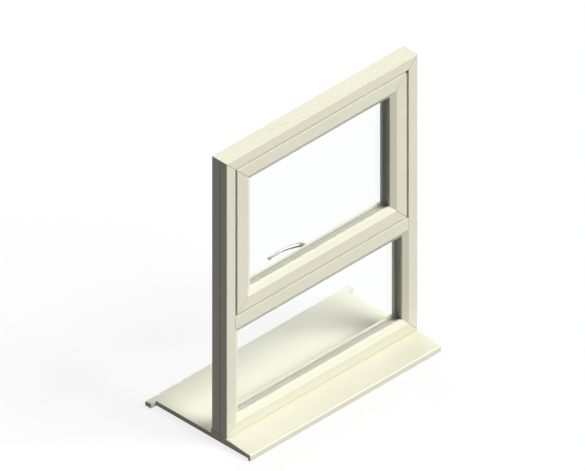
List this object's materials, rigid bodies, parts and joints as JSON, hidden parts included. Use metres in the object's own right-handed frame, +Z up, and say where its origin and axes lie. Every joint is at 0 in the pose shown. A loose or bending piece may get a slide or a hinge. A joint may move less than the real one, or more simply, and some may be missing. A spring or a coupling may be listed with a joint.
{
  "type": "top hung window",
  "caption": "Top hung casement over a fixed light in a welded plastic frame, with sealed glass units, friction stays, a lever-handled bolt lock, a sloping cill and a window board.",
  "frame": {"origin": "middle of the frame, halfway through its depth, at the level of the cill's underside", "axes": "+Z up, -Y to the weather side, +Y to the room, +X to the right seen from outside"},
  "size_m": [0.952, 0.47, 1.158],
  "materials": {
    "profile": "smooth ivory uPVC, satin",
    "board": "smooth ivory laminate, satin",
    "glass": "clear float glass, polished",
    "gasket": "matt warm grey elastomer",
    "weather": "matt grey black elastomer",
    "spacer": "matt light grey warm-edge bar",
    "seal": "matt black edge sealant",
    "packer": "moulded plastic shims",
    "steel": "satin stainless steel",
    "zinc": "zinc plated steel",
    "shoe": "black nylon",
    "nickel": "satin nickel plate"
  },
  "bodies": {
    "frame": {"cill": "profile", "fixed_bead_bottom": "profile", "fixed_bead_left": "profile", "fixed_bead_right": "profile", "fixed_bead_top": "profile", "fixed_edge_seal": "seal", "fixed_inner_gasket": "gasket", "fixed_inner_pane": "glass", "fixed_outer_gasket": "gasket", "fixed_outer_pane": "glass", "fixed_packers": "packer", "fixed_spacer": "spacer", "frame_reinforcement": "zinc", "keep_screws": "steel", "left_cill_end_cap": "profile", "left_frame_rivet": "steel", "left_keep": "zinc", "left_stay_track": "steel", "outer_frame": "profile", "right_cill_end_cap": "profile", "right_frame_rivet": "steel", "right_keep": "zinc", "right_stay_track": "steel", "stay_track_screws": "steel", "weather_seal": "weather", "window_board": "board"},
    "sash": {"faceplate_screws": "steel", "handle_rose": "nickel", "left_sash_arm": "steel", "left_sash_rivets": "steel", "lock_case": "zinc", "lock_faceplate": "zinc", "right_sash_arm": "steel", "right_sash_rivets": "steel", "rose_screws": "steel", "sash_arm_screws": "steel", "sash_bead_bottom": "profile", "sash_bead_left": "profile", "sash_bead_right": "profile", "sash_bead_top": "profile", "sash_edge_seal": "seal", "sash_frame": "profile", "sash_inner_gasket": "gasket", "sash_inner_pane": "glass", "sash_outer_gasket": "gasket", "sash_outer_pane": "glass", "sash_packers": "packer", "sash_reinforcement": "zinc", "sash_spacer": "spacer"},
    "left_arm": {"left_support_arm": "steel"},
    "right_arm": {"right_support_arm": "steel"},
    "left_shoe": {"left_stay_shoe": "shoe"},
    "right_shoe": {"right_stay_shoe": "shoe"},
    "handle": {"handle_lever": "nickel", "spindle": "zinc", "lock_gear": "zinc"},
    "lock_bar": {"lock_rod": "zinc", "lock_rack": "zinc", "lock_cams": "zinc"}
  },
  "joints": [
    {"name": "left_arm_pivot", "type": "hinge", "parent": "frame", "child": "left_arm", "pos_m": [-0.403, -0.004, 0.82], "axis": [1, 0, 0], "range_deg": [0, 40]},
    {"name": "sash_swing", "type": "hinge", "parent": "left_arm", "child": "sash", "pos_m": [-0.401, -0.004, 0.96], "axis": [-1, 0, 0], "range_deg": [0, 80]},
    {"name": "right_arm_pivot", "type": "hinge", "parent": "frame", "child": "right_arm", "pos_m": [0.403, -0.004, 0.82], "axis": [1, 0, 0], "range_deg": [0, 40]},
    {"name": "left_shoe_pivot", "type": "hinge", "parent": "sash", "child": "left_shoe", "pos_m": [-0.404, -0.004, 1.1], "axis": [1, 0, 0], "range_deg": [0, 40]},
    {"name": "right_shoe_pivot", "type": "hinge", "parent": "sash", "child": "right_shoe", "pos_m": [0.404, -0.004, 1.1], "axis": [1, 0, 0], "range_deg": [0, 40]},
    {"name": "handle_turn", "type": "hinge", "parent": "sash", "child": "handle", "pos_m": [0, 0.041, 0.552], "axis": [0, -1, 0], "range_deg": [0, 90]},
    {"name": "lock_slide", "type": "slide", "parent": "sash", "child": "lock_bar", "axis": [1, 0, 0], "range_m": [0, 0.01571]}
  ],
  "couplings": [
    {"joint": "left_arm_pivot", "follows": "sash_swing", "ratio": 0.5},
    {"joint": "right_arm_pivot", "follows": "sash_swing", "ratio": 0.5},
    {"joint": "left_shoe_pivot", "follows": "sash_swing", "ratio": 0.5},
    {"joint": "right_shoe_pivot", "follows": "sash_swing", "ratio": 0.5},
    {"joint": "lock_slide", "follows": "handle_turn", "m_per_rad": 0.01}
  ]
}
